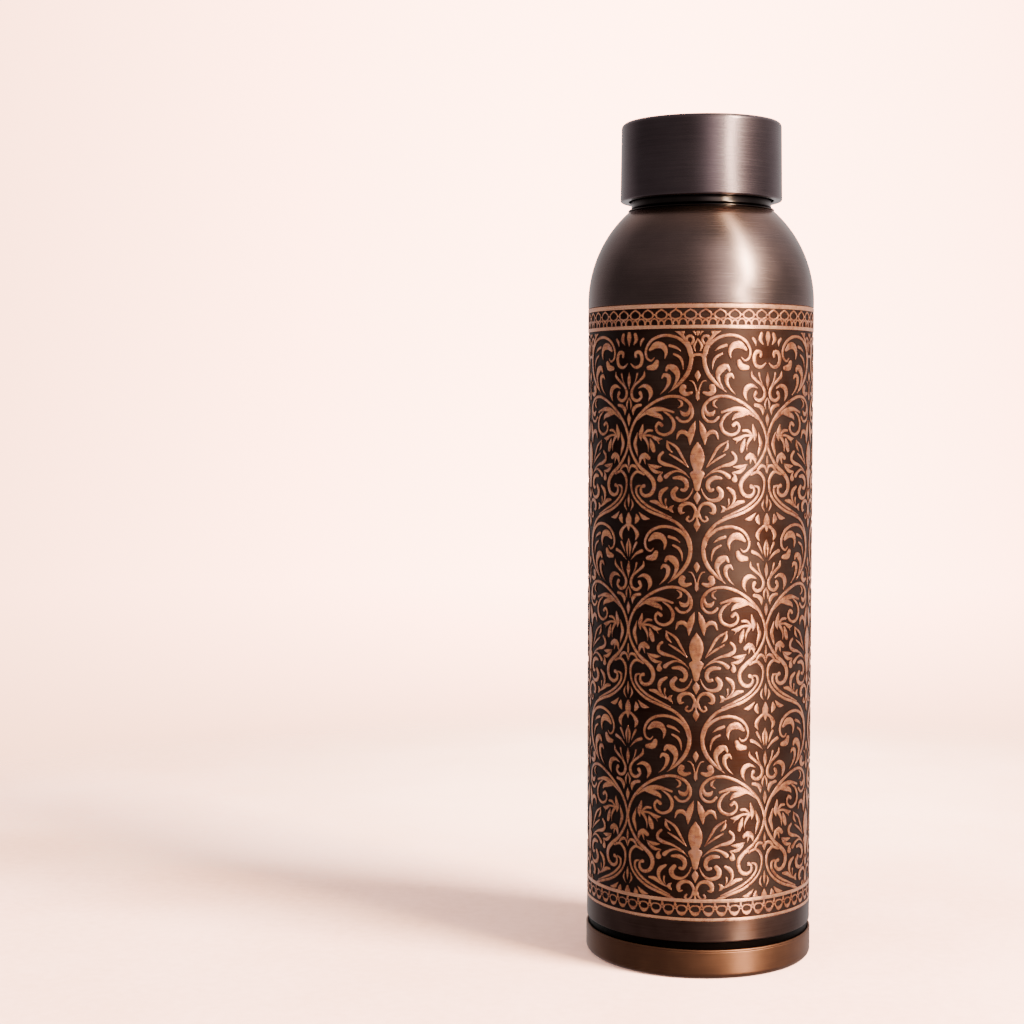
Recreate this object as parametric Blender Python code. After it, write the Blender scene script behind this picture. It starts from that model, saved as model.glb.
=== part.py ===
"""Copper water bottle with a screw cap, modelled piece by piece in metres, +Z up.

The origin is the centre of the foot, on the surface that the bottle stands on. Every piece is
turned about the Z axis, which is also the axis the cap screws on.
"""

import math

import bmesh
import bpy
from mathutils import Vector

MM = 0.001

# Driving dimensions, in millimetres.
BODY_RADIUS = 36.5
WALL = 0.7  # sheet thickness of the copper pieces
GAP = 0.3  # room left between pieces that are brazed, pressed or seated together
STEPS = 48  # flats round every turned piece

# Heights of the joints above the surface that the bottle stands on.
TUBE_TOP = 210.3
SHOULDER_TOP = 241.3
CAP_SKIRT = 244.8
LIP_TOP = 265.4
CAP_TOP = 270.4

# Base: a cup pushed over the necked-in end of the tube, with a groove above its rim.
CUP_RADIUS = BODY_RADIUS + 0.2
CUP_RIM = 9.3
CUP_CORNER = 2.0
GROOVE_TOP = 11.5
GROOVE_DEPTH = 0.8
FOOT_INNER = 28.0  # the flat foot ring runs from here out to the corner
FOOT_RECESS = 2.2

# Shoulder: a quarter ellipse of this height, cut off where the neck ring sits.
SHOULDER_SPRING = 212.0
SHOULDER_HEIGHT = 38.5
LAP = 5.0  # length of the skirt brazed inside the tube

# Neck ring and its thread.
NECK_BORE = 20.0
NECK_RADIUS = 21.2
COLLAR_RADIUS = 22.6
COLLAR_FOOT = 23.6  # the collar flares out to this where it meets the shoulder
COLLAR_TOP = 246.4
SPIGOT_RADIUS = 21.8
SPIGOT_BOTTOM = 238.8
THREAD_PITCH = 4.0
THREAD_DEPTH = 1.0
THREAD_ROOT_WIDTH = 2.0
THREAD_CREST_WIDTH = 0.9
THREAD_START = 254.0
NECK_TURNS = 1.5
CAP_TURNS = 1.25
THREAD_OFFSET = -1.6  # the cap's ridge runs this far under the neck's
THREAD_CLEARANCE = 0.4

# Cap: a thin tapered shell hemmed over a moulded, threaded insert.
CAP_BOTTOM_RADIUS = 26.1
CAP_TOP_RADIUS = 25.8
CAP_CORNER = 1.6
CAP_CROWN = 0.5  # rise of the cap's top from its edge to its middle
HEM_RADIUS = 23.4
HEM_CORNER = 0.6
INSERT_RADIUS = 24.7
INSERT_PLATE = 1.3
GASKET_THICKNESS = 1.6
GASKET_INNER = 19.0


def clear_scene():
    for obj in list(bpy.data.objects):
        bpy.data.objects.remove(obj)


def metal(name, colour, roughness, metallic=1.0):
    material = bpy.data.materials.new(name)
    material.use_nodes = True
    shader = material.node_tree.nodes["Principled BSDF"]
    shader.inputs["Base Color"].default_value = (*colour, 1.0)
    shader.inputs["Roughness"].default_value = roughness
    shader.inputs["Metallic"].default_value = metallic
    return material


def arc(centre_r, centre_z, radius, start_deg, end_deg, count):
    """Points of a round corner in the (r, z) half-plane, angles from +r towards +z."""
    points = []
    for i in range(count + 1):
        angle = math.radians(start_deg + (end_deg - start_deg) * i / count)
        points.append((centre_r + radius * math.cos(angle), centre_z + radius * math.sin(angle)))
    return points


def empty(name, height):
    holder = bpy.data.objects.new(name, None)
    holder.location = (0, 0, height * MM)
    bpy.context.scene.collection.objects.link(holder)
    return holder


def add_object(name, mesh, seat, holder, material):
    """Places a mesh, whose zero height is its seat, under its holder."""
    mesh.materials.append(material)
    mesh.shade_smooth()
    mesh.set_sharp_from_angle(angle=math.radians(35))
    obj = bpy.data.objects.new(name, mesh)
    bpy.context.scene.collection.objects.link(obj)
    obj.parent = holder
    obj.location = Vector((0, 0, seat * MM)) - holder.location
    return obj


def turned_mesh(name, profile, seat, closed=True):
    """Spins a profile of (r, z) points about Z. An open profile starts and ends on the axis."""
    bm = bmesh.new()
    verts = [bm.verts.new((r * MM, 0, (z - seat) * MM)) for r, z in profile]
    edges = [bm.edges.new(pair) for pair in zip(verts, verts[1:])]
    if closed:
        edges.append(bm.edges.new((verts[-1], verts[0])))
    bmesh.ops.spin(
        bm,
        geom=verts + edges,
        cent=(0, 0, 0),
        axis=(0, 0, 1),
        angle=math.tau,
        steps=STEPS,
        use_merge=True,
    )
    bmesh.ops.remove_doubles(bm, verts=bm.verts, dist=1e-6)
    bmesh.ops.recalc_face_normals(bm, faces=bm.faces)
    mesh = bpy.data.meshes.new(name)
    bm.to_mesh(mesh)
    bm.free()
    return mesh


def turned(name, profile, seat, holder, material, closed=True):
    return add_object(name, turned_mesh(name, profile, seat, closed), seat, holder, material)


def thread_ridge(name, wall_radius, crest_radius, start, turns, seat):
    """A right-hand ridge whose root is sunk into the wall, fading out over the last eighth turns."""
    outward = 1 if crest_radius > wall_radius else -1
    sunk_radius = wall_radius - outward * WALL / 2
    count = round(turns * STEPS)
    fade = STEPS // 8
    half_root = THREAD_ROOT_WIDTH / 2
    half_crest = THREAD_CREST_WIDTH / 2
    bm = bmesh.new()
    rings = []
    for i in range(count + 1):
        angle = math.tau * i / STEPS
        height = start - seat + THREAD_PITCH * i / STEPS
        share = min(1.0, (min(i, count - i) + 1) / fade)
        tip = wall_radius + (crest_radius - wall_radius) * share
        section = (
            (sunk_radius, -half_root),
            (wall_radius, -half_root),
            (tip, -half_crest),
            (tip, half_crest),
            (wall_radius, half_root),
            (sunk_radius, half_root),
        )
        ring = []
        for r, z in section:
            place = (r * math.cos(angle) * MM, r * math.sin(angle) * MM, (height + z) * MM)
            ring.append(bm.verts.new(place))
        rings.append(ring)
    for low, high in zip(rings, rings[1:]):
        for k in range(len(low)):
            j = (k + 1) % len(low)
            bm.faces.new((low[k], low[j], high[j], high[k]))
    bm.faces.new(rings[0])
    bm.faces.new(rings[-1])
    bmesh.ops.recalc_face_normals(bm, faces=bm.faces)
    mesh = bpy.data.meshes.new(name)
    bm.to_mesh(mesh)
    bm.free()
    ridge = bpy.data.objects.new(name, mesh)
    ridge.hide_render = True
    ridge.display_type = "WIRE"
    bpy.context.scene.collection.objects.link(ridge)
    return ridge


def join_ridge(owner, ridge):
    ridge.parent = owner
    union = owner.modifiers.new("thread", "BOOLEAN")
    union.operation = "UNION"
    union.solver = "EXACT"
    union.object = ridge


def shoulder_curve(inset, count=11):
    """Points up the shoulder's quarter ellipse, inset from its outer skin, to its cut top."""
    wide = BODY_RADIUS - inset
    high = SHOULDER_HEIGHT - inset
    end = math.asin((SHOULDER_TOP - SHOULDER_SPRING) / high)
    return [
        (wide * math.cos(end * i / count), SHOULDER_SPRING + high * math.sin(end * i / count))
        for i in range(count + 1)
    ]


def base_cup(holder, material):
    """The pressed cup that the bottle stands on, with a recess under it and a rounded rim."""
    inner = CUP_RADIUS - WALL
    corner = CUP_CORNER - WALL
    profile = [(0, FOOT_RECESS), (FOOT_INNER - 2, FOOT_RECESS), (FOOT_INNER, 0)]
    profile += arc(CUP_RADIUS - CUP_CORNER, CUP_CORNER, CUP_CORNER, -90, 0, 4)
    profile += [(CUP_RADIUS, CUP_RIM - 0.3), (CUP_RADIUS - 0.3, CUP_RIM), (inner, CUP_RIM)]
    profile += arc(CUP_RADIUS - CUP_CORNER, CUP_CORNER, corner, 0, -90, 3)
    profile += [(FOOT_INNER + 0.3, WALL), (FOOT_INNER - 1.7, FOOT_RECESS + WALL)]
    profile += [(0, FOOT_RECESS + WALL)]
    return turned("base_cup", profile, 0, holder, material, closed=False)


def bottom_plate(holder, material):
    """The dished plate brazed inside the tube's end, which holds the water."""
    rim = BODY_RADIUS - GROOVE_DEPTH - WALL - GAP
    floor = FOOT_RECESS + WALL + GAP
    profile = [(0, floor), (rim - 1.5, floor), (rim, floor + 1.5)]
    profile += [(rim, CUP_RIM), (rim - WALL, CUP_RIM), (rim - WALL, floor + 1.8)]
    profile += [(rim - WALL - 1.1, floor + WALL), (0, floor + WALL)]
    return turned("bottom_plate", profile, floor, holder, material, closed=False)


def body_tube(holder, material):
    """The straight wall, necked in below the groove so that the base cup fits over it."""
    outer = BODY_RADIUS
    neck = outer - GROOVE_DEPTH
    end = WALL + GAP
    profile = [(outer, TUBE_TOP), (outer, GROOVE_TOP + 0.6)]
    profile += [(outer - 0.25, GROOVE_TOP + 0.1), (outer - 0.6, GROOVE_TOP)]
    profile += [(neck, GROOVE_TOP - 0.5), (neck, CUP_CORNER), (neck - 0.5, end + 0.3)]
    profile += [(neck - WALL, end + 0.3), (neck - WALL, GROOVE_TOP)]
    profile += [(outer - WALL, GROOVE_TOP + 1.2), (outer - WALL, TUBE_TOP)]
    return turned("body_tube", profile, CUP_RIM, holder, material)


def shoulder(holder, material):
    """The spun dome, with a joggled skirt that laps inside the top of the tube."""
    seam = TUBE_TOP + GAP
    skirt = BODY_RADIUS - WALL - GAP
    profile = [(skirt, seam), (BODY_RADIUS, seam)]
    profile += shoulder_curve(0)
    profile += reversed(shoulder_curve(WALL)[1:])
    profile += [(skirt - WALL, seam - 0.2), (skirt - WALL, seam - LAP), (skirt, seam - LAP)]
    return turned("shoulder", profile, seam, holder, material)


def neck_ring(holder, material):
    """The threaded neck, with a collar that sits on the shoulder and a spigot inside it."""
    collar_base = SHOULDER_TOP + GAP
    profile = [(NECK_BORE, LIP_TOP - 0.3), (NECK_BORE + 0.2, LIP_TOP)]
    profile += [(NECK_RADIUS - 0.2, LIP_TOP), (NECK_RADIUS, LIP_TOP - 0.3)]
    profile += [(NECK_RADIUS, COLLAR_TOP)]
    profile += arc(COLLAR_RADIUS - 0.5, COLLAR_TOP - 0.5, 0.5, 90, 0, 3)
    flare = COLLAR_FOOT - COLLAR_RADIUS
    profile += arc(COLLAR_FOOT, collar_base + 0.4 + flare, flare, 180, 270, 3)
    profile += [(COLLAR_FOOT, collar_base)]
    profile += [(SPIGOT_RADIUS, collar_base), (SPIGOT_RADIUS, SPIGOT_BOTTOM)]
    profile += [(NECK_BORE, SPIGOT_BOTTOM)]
    ring = turned("neck_ring", profile, collar_base, holder, material)
    crest = NECK_RADIUS + THREAD_DEPTH
    join_ridge(
        ring,
        thread_ridge("neck_thread", NECK_RADIUS, crest, THREAD_START, NECK_TURNS, collar_base),
    )
    return ring


def cap_shell(holder, material):
    """The outer shell of the cap, tapered a little and hemmed inwards at its lower edge."""
    taper = (CAP_BOTTOM_RADIUS - CAP_TOP_RADIUS) / (CAP_TOP - CAP_SKIRT)
    inner_bottom = CAP_BOTTOM_RADIUS - WALL
    edge_top = CAP_TOP - CAP_CROWN
    profile = [(0, CAP_TOP), (CAP_TOP_RADIUS / 2, CAP_TOP - CAP_CROWN / 4)]
    profile += arc(CAP_TOP_RADIUS - CAP_CORNER, edge_top - CAP_CORNER, CAP_CORNER, 90, 0, 5)
    profile += arc(CAP_BOTTOM_RADIUS - HEM_CORNER, CAP_SKIRT + HEM_CORNER, HEM_CORNER, 0, -90, 3)
    profile += [(HEM_RADIUS, CAP_SKIRT), (HEM_RADIUS, CAP_SKIRT + WALL)]
    profile += [(inner_bottom, CAP_SKIRT + WALL)]
    inner_top = edge_top - CAP_CORNER
    profile += [(inner_bottom - taper * (inner_top - CAP_SKIRT), inner_top)]
    profile += [(CAP_TOP_RADIUS - CAP_CORNER, edge_top - WALL), (0, CAP_TOP - WALL)]
    return turned("cap_shell", profile, CAP_SKIRT, holder, material, closed=False)


def cap_insert(holder, material):
    """The threaded cup inside the cap, which the shell's hem holds in."""
    bottom = CAP_SKIRT + WALL + GAP
    top = CAP_TOP - CAP_CROWN - WALL - GAP
    bore = NECK_RADIUS + THREAD_DEPTH + THREAD_CLEARANCE
    ceiling = top - INSERT_PLATE
    mouth = COLLAR_RADIUS + THREAD_CLEARANCE
    profile = [(0, top), (INSERT_RADIUS - 1, top), (INSERT_RADIUS, top - 1)]
    profile += [(INSERT_RADIUS, bottom), (mouth, bottom), (mouth, COLLAR_TOP + 0.5)]
    profile += [(bore, COLLAR_TOP + 1.6), (bore, ceiling), (0, ceiling)]
    insert = turned("cap_insert", profile, bottom, holder, material, closed=False)
    start = THREAD_START + THREAD_OFFSET
    crest = bore - THREAD_DEPTH
    join_ridge(insert, thread_ridge("cap_thread", bore, crest, start, CAP_TURNS, bottom))
    return insert


def cap_gasket(holder, material):
    """The sealing washer between the neck's lip and the insert's ceiling."""
    bottom = LIP_TOP + GAP
    outer = NECK_RADIUS + THREAD_DEPTH
    top = bottom + GASKET_THICKNESS
    profile = [(outer, top), (outer, bottom), (GASKET_INNER, bottom), (GASKET_INNER, top)]
    return turned("cap_gasket", profile, bottom, holder, material)


def main():
    clear_scene()
    dark_copper = metal("dark_antique_copper", (0.075, 0.045, 0.036), 0.32)
    etched_copper = metal("etched_copper", (0.42, 0.19, 0.12), 0.38)
    brown_copper = metal("brown_antique_copper", (0.16, 0.075, 0.045), 0.34)
    raw_copper = metal("raw_copper", (0.72, 0.36, 0.24), 0.35)
    collar_metal = metal("blackened_brass", (0.05, 0.035, 0.03), 0.2)
    moulding = metal("moulded_insert", (0.03, 0.028, 0.027), 0.5, metallic=0.0)
    silicone = metal("silicone", (0.78, 0.76, 0.72), 0.6, metallic=0.0)

    bottle = empty("bottle", 0)
    body_tube(bottle, etched_copper)
    shoulder(bottle, dark_copper)
    neck_ring(bottle, collar_metal)
    bottom_plate(bottle, raw_copper)
    base_cup(bottle, brown_copper)

    cap = empty("cap", CAP_SKIRT)
    cap_shell(cap, dark_copper)
    cap_insert(cap, moulding)
    cap_gasket(cap, silicone)


main()
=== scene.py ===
"""Looks of an etched copper water bottle with a screw cap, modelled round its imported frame.

The bottle stands on the origin with its axis on Z. Lengths are in millimetres while a piece is
modelled, and each finished mesh is scaled to metres. Angles round the axis start at the side that
faces -Y and grow towards +X.
"""

import logging
import math
from collections.abc import Callable, Iterable, Sequence
from dataclasses import dataclass, field
from enum import Enum

import bmesh
import bpy
from mathutils import Matrix, Vector
from mathutils.geometry import delaunay_2d_cdt


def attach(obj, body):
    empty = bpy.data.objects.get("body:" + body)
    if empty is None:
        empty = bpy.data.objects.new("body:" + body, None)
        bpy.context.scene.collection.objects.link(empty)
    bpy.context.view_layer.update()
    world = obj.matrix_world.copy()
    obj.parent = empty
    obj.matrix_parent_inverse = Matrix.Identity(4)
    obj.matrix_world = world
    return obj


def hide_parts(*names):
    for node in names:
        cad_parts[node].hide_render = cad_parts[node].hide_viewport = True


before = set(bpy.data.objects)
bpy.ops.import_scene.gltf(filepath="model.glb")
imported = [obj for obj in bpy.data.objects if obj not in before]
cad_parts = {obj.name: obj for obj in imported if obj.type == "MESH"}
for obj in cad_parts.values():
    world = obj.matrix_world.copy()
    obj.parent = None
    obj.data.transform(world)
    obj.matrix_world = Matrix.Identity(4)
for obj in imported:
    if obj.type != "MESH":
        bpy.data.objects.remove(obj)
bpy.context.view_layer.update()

MM = 0.001
FINE_STEPS = 192  # flats round a turned piece
SHARP_ANGLE = math.radians(28)

Colour = tuple[float, float, float]
Point = tuple[float, float]  # distance from the axis and height
Corner = tuple[float, float, float]  # the same two and the corner's radius
StrokePoint = tuple[float, float, float]  # across, down and the stroke's breadth

log = logging.getLogger("bottle")


class Body(Enum):
    """The bodies that pieces ride on."""

    BOTTLE = "bottle"
    WASHER = "washer"
    CAP = "cap"


class Slot(Enum):
    """The record's material slots."""

    ETCHED = "etched_copper"
    DARK = "dark_copper"
    BROWN = "brown_copper"
    RAW = "raw_copper"
    COLLAR = "blackened_brass"
    MOULDING = "moulded_insert"
    SILICONE = "silicone"


# ---------------------------------------------------------------------------------------------
# Shader tools


class Socket:
    """An output socket that can stand in an arithmetic expression."""

    def __init__(self, graph: "Graph", out: bpy.types.NodeSocket) -> None:
        """Wraps an output socket of a graph."""
        self.graph = graph
        self.out = out

    def _maths(self, operation: str, first: "Socket | float", second: "Socket | float") -> "Socket":
        """Adds a Math node."""
        return self.graph.node("ShaderNodeMath", {"operation": operation}, {0: first, 1: second})

    def __add__(self, other: "Socket | float") -> "Socket":
        """Sum."""
        return self._maths("ADD", self, other)

    def __radd__(self, other: float) -> "Socket":
        """Sum with a number first."""
        return self._maths("ADD", other, self)

    def __sub__(self, other: "Socket | float") -> "Socket":
        """Difference."""
        return self._maths("SUBTRACT", self, other)

    def __rsub__(self, other: float) -> "Socket":
        """Difference with a number first."""
        return self._maths("SUBTRACT", other, self)

    def __mul__(self, other: "Socket | float") -> "Socket":
        """Product."""
        return self._maths("MULTIPLY", self, other)

    def __rmul__(self, other: float) -> "Socket":
        """Product with a number first."""
        return self._maths("MULTIPLY", other, self)

    def __truediv__(self, other: "Socket | float") -> "Socket":
        """Quotient."""
        return self._maths("DIVIDE", self, other)

    def __rtruediv__(self, other: float) -> "Socket":
        """Quotient with a number first."""
        return self._maths("DIVIDE", other, self)

    def __neg__(self) -> "Socket":
        """Opposite."""
        return self._maths("MULTIPLY", self, -1.0)

    def __pow__(self, other: "Socket | float") -> "Socket":
        """Power."""
        return self._maths("POWER", self, other)

    def __rpow__(self, other: float) -> "Socket":
        """A number raised to this power."""
        return self._maths("POWER", other, self)


class Graph:
    """Adds nodes to a node tree."""

    def __init__(self, tree: bpy.types.NodeTree) -> None:
        """Starts on a node tree."""
        self.tree = tree

    def node(self, kind: str, settings: dict, inputs: dict, output: int | str = 0) -> Socket:
        """Adds a node.

        Args:
            kind: The node's type.
            settings: Its properties, which are set first.
            inputs: Values or sockets for its inputs, by name or index.
            output: The output that is wanted.

        Returns:
            The wrapped output socket.
        """
        made = self.tree.nodes.new(kind)
        for key, value in settings.items():
            setattr(made, key, value)
        for key, value in inputs.items():
            self.feed(made.inputs[key], value)
        return Socket(self, made.outputs[output])

    def feed(self, target: bpy.types.NodeSocket, value: object) -> None:
        """Links or sets one input.

        Args:
            target: The input socket.
            value: A wrapped socket, a number or a colour.
        """
        if isinstance(value, Socket):
            self.tree.links.new(value.out, target)
        elif isinstance(value, tuple) and len(value) == 3 and target.type == "RGBA":
            target.default_value = (*value, 1.0)
        else:
            target.default_value = value

    def split(self, vector: Socket) -> tuple[Socket, Socket, Socket]:
        """Takes a vector apart.

        Args:
            vector: The vector.

        Returns:
            Its three parts.
        """
        parts = self.tree.nodes.new("ShaderNodeSeparateXYZ")
        self.feed(parts.inputs[0], vector)
        return tuple(Socket(self, out) for out in parts.outputs)

    def spread(self, value: Socket, low: float, high: float, to_low: float, to_high: float) -> Socket:
        """Maps a value's range from low to high to that from to_low to to_high, and clamps it."""
        inputs = {"Value": value, "From Min": low, "From Max": high, "To Min": to_low, "To Max": to_high}
        return self.node("ShaderNodeMapRange", {"clamp": True}, inputs)

    def blend(self, share: Socket | float, first: Colour | Socket, second: Colour | Socket) -> Socket:
        """Mixes two colours by the share of the second."""
        inputs = {"Factor": share, 6: first, 7: second}
        return self.node("ShaderNodeMix", {"data_type": "RGBA"}, inputs, 2)

    def bell(self, value: Socket, centre: float, width: float) -> Socket:
        """A smooth bump, 1 at its centre and about a third at its width from there."""
        offset = (value - centre) / width
        return math.e ** -(offset * offset)


class Bench(Graph):
    """Builds one material's node tree round its Principled shader."""

    def __init__(self, name: str) -> None:
        """Starts a material.

        Args:
            name: The material's name.
        """
        self.material = bpy.data.materials.new(name)
        self.material.use_nodes = True
        super().__init__(self.material.node_tree)
        self.shader = self.tree.nodes["Principled BSDF"]

    def turned_vector(self, across: float, along: float) -> Socket:
        """A vector that changes fast across the marks of a lathe and slowly along them.

        Args:
            across: How fast it changes across the marks, per metre.
            along: How fast it changes along them, per metre.

        Returns:
            The vector, for a noise texture.
        """
        x, y, z = self.split(self.node("ShaderNodeTexCoord", {}, {}, "Object"))
        radius = (x * x + y * y) ** 0.5
        parts = {"X": x * along, "Y": y * along, "Z": (z - radius) * across}
        return self.node("ShaderNodeCombineXYZ", {}, parts)

    def noise(self, vector: Socket | None, scale: float, detail: float = 3.0) -> Socket:
        """Noise from 0 to 1.

        Args:
            vector: Where it is read, or None for the object's own coordinates.
            scale: Its scale.
            detail: Its number of octaves.

        Returns:
            The noise.
        """
        if vector is None:
            vector = self.node("ShaderNodeTexCoord", {}, {}, "Object")
        inputs = {"Vector": vector, "Scale": scale, "Detail": detail}
        return self.node("ShaderNodeTexNoise", {}, inputs, "Fac")

    def bump(self, height: Socket, distance: float, strength: float) -> None:
        """Feeds the shader's normal from a height of 0 to 1, which stands for a distance in metres."""
        inputs = {"Height": height, "Distance": distance, "Strength": strength}
        self.feed(self.shader.inputs["Normal"], self.node("ShaderNodeBump", {}, inputs, "Normal"))

    def set(self, **values: object) -> bpy.types.Material:
        """Sets the shader's inputs.

        Args:
            values: What each input gets, by the input's name with underscores for its spaces.

        Returns:
            The material.
        """
        for key, value in values.items():
            self.feed(self.shader.inputs[key.replace("_", " ")], value)
        return self.material


# ---------------------------------------------------------------------------------------------
# Finishes


@dataclass(frozen=True)
class BrushedPatina:
    """Copper or brass under an antique patina, brushed while it turns on the lathe."""

    name: str
    deep: Colour
    worn: Colour
    roughness: float = 0.32
    grain: float = 0.5  # how much the brush marks show
    cloud: float = 70.0  # scale of the patina's clouds, per metre
    painted_sheen: Colour | None = None  # paler copper painted near the top as a highlight, where the light catches it
    painted_sheen_from: float = 0.0  # heights between which the painted highlight grows, in metres
    painted_sheen_to: float = 0.0

    def material(self) -> bpy.types.Material:
        """Builds the material.

        Returns:
            The material.
        """
        bench = Bench(self.name)
        fine = bench.noise(bench.turned_vector(12000, 80), 1.0, 4.0)
        broad = bench.noise(bench.turned_vector(1500, 35), 1.0, 3.0)
        clouds = bench.noise(None, self.cloud, 4.0)
        marks = fine * 0.7 + broad * 0.3
        wear = bench.spread(clouds * 0.6 + marks * 0.4, 0.36, 0.66, 0.0, 1.0)
        colour = bench.blend(wear, self.deep, self.worn)
        # painted highlight: the patina turns to paler copper towards the top, standing in for the light
        # caught there
        if self.painted_sheen:
            height = bench.split(bench.node("ShaderNodeTexCoord", {}, {}, "Object"))[2]
            sheen_share = bench.spread(height, self.painted_sheen_from, self.painted_sheen_to, 0.0, 1.0)
            colour = bench.blend(sheen_share * (0.4 + clouds), colour, self.painted_sheen)
        swing = 0.12 * self.grain
        rough = bench.spread(marks, 0.3, 0.7, self.roughness - swing / 2, self.roughness + swing)
        bench.bump(marks, 0.00003, 0.25 * self.grain)
        return bench.set(Base_Color=colour, Roughness=rough, Metallic=1.0)


@dataclass(frozen=True)
class EtchedCopper:
    """The raised copper of the pattern: mottled, grainy and lightly brushed."""

    name: str
    deep: Colour
    bright: Colour
    blush: Colour = (0.62, 0.28, 0.21)  # pinker patches
    roughness: float = 0.31
    metallic: float = 0.86

    def material(self) -> bpy.types.Material:
        """Builds the material.

        Returns:
            The material.
        """
        bench = Bench(self.name)
        mottle = bench.noise(None, 560, 5.0)
        drift = bench.noise(None, 90, 2.0)
        brush = bench.noise(bench.turned_vector(7000, 110), 1.0, 3.0)
        grain = bench.noise(None, 5200, 2.0)
        tone = bench.spread(mottle * 0.5 + drift * 0.2 + brush * 0.3, 0.41, 0.59, 0.0, 1.0)
        smooth, coarse = self.roughness - 0.07, self.roughness + 0.1
        rough = bench.spread(mottle * 0.5 + grain * 0.5, 0.35, 0.65, smooth, coarse)
        bench.bump(brush * 0.5 + grain * 0.5, 0.00004, 0.45)
        metal = bench.spread(mottle, 0.3, 0.7, self.metallic - 0.1, self.metallic + 0.1)
        patches = bench.spread(bench.noise(None, 420, 2.0), 0.5, 0.66, 0.0, 0.5)
        colour = bench.blend(patches, bench.blend(tone, self.deep, self.bright), self.blush)
        return bench.set(Base_Color=colour, Roughness=rough, Metallic=metal)


@dataclass(frozen=True)
class Moulding:
    """A moulded plastic or rubber with a faint skin texture."""

    name: str
    colour: Colour
    pale: Colour
    roughness: float

    def material(self) -> bpy.types.Material:
        """Builds the material.

        Returns:
            The material.
        """
        bench = Bench(self.name)
        skin = bench.noise(None, 900, 3.0)
        tone = bench.spread(bench.noise(None, 120, 2.0), 0.35, 0.65, 0.0, 1.0)
        bench.bump(skin, 0.00003, 0.3)
        rough = bench.spread(skin, 0.3, 0.7, self.roughness - 0.05, self.roughness + 0.05)
        return bench.set(Base_Color=bench.blend(tone, self.colour, self.pale), Roughness=rough, Metallic=0.0)


@dataclass(frozen=True)
class Finishes:
    """Every finish of the bottle, made once."""

    cap: bpy.types.Material
    shoulder: bpy.types.Material
    ground: bpy.types.Material
    band: bpy.types.Material
    foot: bpy.types.Material
    groove: bpy.types.Material
    collar: bpy.types.Material
    raised: bpy.types.Material
    rim: bpy.types.Material
    wall: bpy.types.Material
    line: bpy.types.Material
    inside: bpy.types.Material
    insert: bpy.types.Material
    washer: bpy.types.Material

    @classmethod
    def make(cls) -> "Finishes":
        """Makes the materials.

        Returns:
            The finishes.
        """
        return cls(
            cap=BrushedPatina("cap_patina", (0.112, 0.081, 0.09), (0.16, 0.118, 0.13), 0.25, 0.4).material(),
            shoulder=BrushedPatina(
                "shoulder_patina", (0.135, 0.092, 0.086), (0.21, 0.142, 0.135), 0.24, 0.4,
                # paler copper painted near the shoulder's top: a painted highlight
                painted_sheen=(0.3, 0.17, 0.13), painted_sheen_from=0.232, painted_sheen_to=0.244,
            ).material(),
            ground=BrushedPatina(
                "etched_ground", (0.03, 0.01, 0.0065), (0.056, 0.035, 0.031), 0.5, 1.2
            ).material(),
            band=BrushedPatina(
                "plain_band", (0.05, 0.022, 0.016), (0.115, 0.066, 0.056), 0.34, 0.6
            ).material(),
            foot=BrushedPatina(
                "foot_patina", (0.142, 0.062, 0.037), (0.225, 0.1, 0.057), 0.4, 0.6
            ).material(),
            # near-black painted shade for the recessed groove at the tube's foot
            groove=BrushedPatina(
                "groove_painted_shade", (0.003, 0.002, 0.0018), (0.006, 0.004, 0.0035), 0.55, 0.3
            ).material(),
            collar=BrushedPatina(
                "collar_black", (0.03, 0.023, 0.022), (0.07, 0.055, 0.05), 0.15, 0.3
            ).material(),
            raised=EtchedCopper("raised_copper", (0.29, 0.095, 0.053), (0.8, 0.315, 0.15)).material(),
            # darker copper painted along each raised shape's outline: painted shade
            rim=EtchedCopper(
                "shaded_edge_copper", (0.12, 0.04, 0.025), (0.36, 0.14, 0.085), (0.2, 0.09, 0.07), 0.4
            ).material(),
            wall=BrushedPatina(
                "etched_wall", (0.05, 0.022, 0.015), (0.12, 0.05, 0.034), 0.45, 0.3
            ).material(),
            line=EtchedCopper(
                "line_copper", (0.55, 0.22, 0.13), (0.88, 0.42, 0.25), roughness=0.32
            ).material(),
            inside=BrushedPatina("bare_copper", (0.6, 0.28, 0.18), (0.85, 0.47, 0.34), 0.36, 0.6).material(),
            insert=Moulding("moulded_black", (0.022, 0.021, 0.02), (0.034, 0.032, 0.031), 0.45).material(),
            washer=Moulding("silicone", (0.74, 0.72, 0.68), (0.8, 0.78, 0.75), 0.55).material(),
        )


# ---------------------------------------------------------------------------------------------
# Modelling tools


def finished(bm: bmesh.types.BMesh, name: str, materials: Sequence[bpy.types.Material]) -> bpy.types.Object:
    """Turns a bmesh in millimetres into an object at the origin, in metres.

    Args:
        bm: The geometry, which is freed.
        name: The object's name.
        materials: The materials that its faces' indices mean.

    Returns:
        The object.
    """
    mesh = bpy.data.meshes.new(name)
    bmesh.ops.scale(bm, vec=(MM, MM, MM), verts=bm.verts)
    bm.to_mesh(mesh)
    bm.free()
    return placed(mesh, name, materials)


def placed(mesh: bpy.types.Mesh, name: str, materials: Sequence[bpy.types.Material]) -> bpy.types.Object:
    """Shades a mesh smooth, gives it its materials and links its object.

    Args:
        mesh: The mesh, in metres.
        name: The object's name.
        materials: Its materials.

    Returns:
        The object.
    """
    for material in materials:
        mesh.materials.append(material)
    mesh.shade_smooth()
    mesh.set_sharp_from_angle(angle=SHARP_ANGLE)
    obj = bpy.data.objects.new(name, mesh)
    bpy.context.scene.collection.objects.link(obj)
    return obj


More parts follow.
